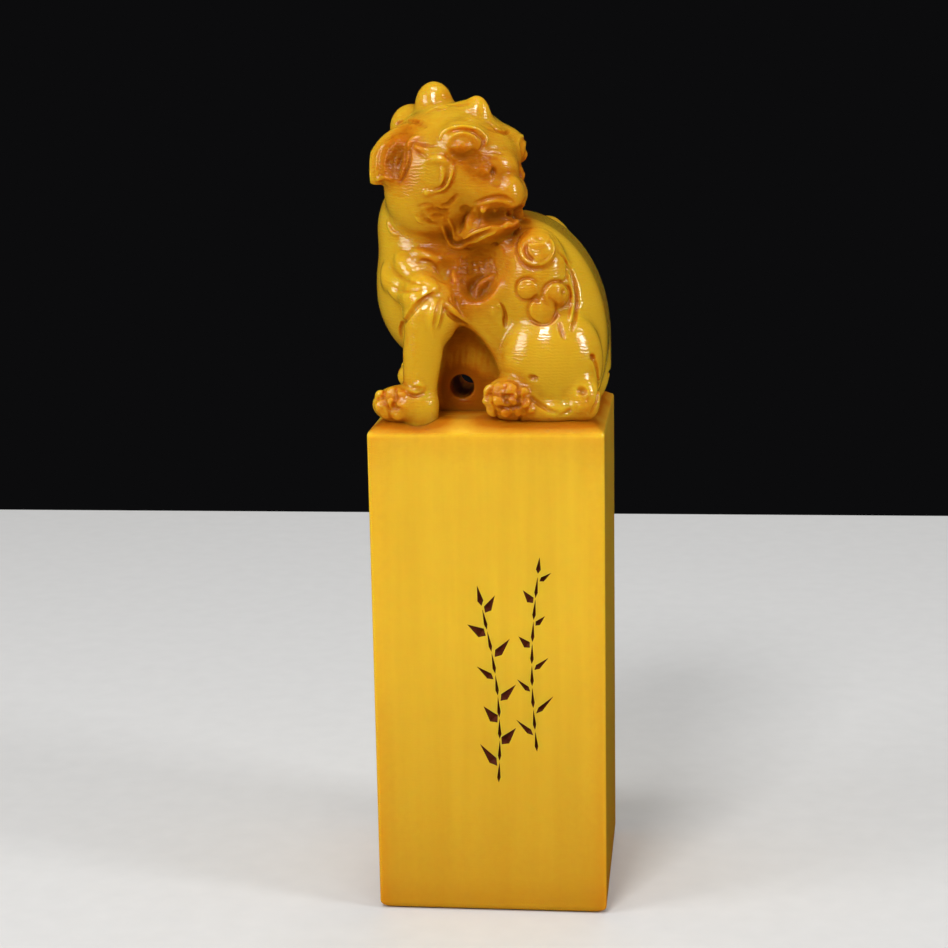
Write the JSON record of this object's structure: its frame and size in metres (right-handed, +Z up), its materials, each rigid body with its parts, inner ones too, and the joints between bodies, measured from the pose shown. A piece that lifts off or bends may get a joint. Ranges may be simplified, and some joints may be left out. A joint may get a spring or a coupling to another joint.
{
  "type": "seal stamp",
  "caption": "Square carved stone seal with a crouching guardian beast as its grip and a bare printing face underneath.",
  "frame": {"origin": "centre of the printing face, the flat bottom of the shaft", "axes": "+Z up the shaft to the carved beast, +X to the right of the front face, +Y to the back; the beast's body looks along -X"},
  "size_m": [0.025, 0.025, 0.0896],
  "materials": {
    "stone": "polished, waxy and slightly translucent yellow stone with brown stain in the recesses"
  },
  "bodies": {
    "root": {"seal_shaft": "stone", "trunk": "stone", "chest": "stone", "neck": "stone", "head": "stone", "muzzle": "stone", "lower_jaw": "stone", "left_thigh": "stone", "left_foreleg": "stone", "left_hind_foot": "stone", "left_forepaw": "stone", "left_flank_curl": "stone", "left_eye": "stone", "left_ear": "stone", "right_thigh": "stone", "right_foreleg": "stone", "right_hind_foot": "stone", "right_forepaw": "stone", "right_flank_curl": "stone", "right_eye": "stone", "right_ear": "stone", "front_knob": "stone", "crown_knob": "stone", "rear_knob": "stone", "tail": "stone"}
  },
  "joints": []
}
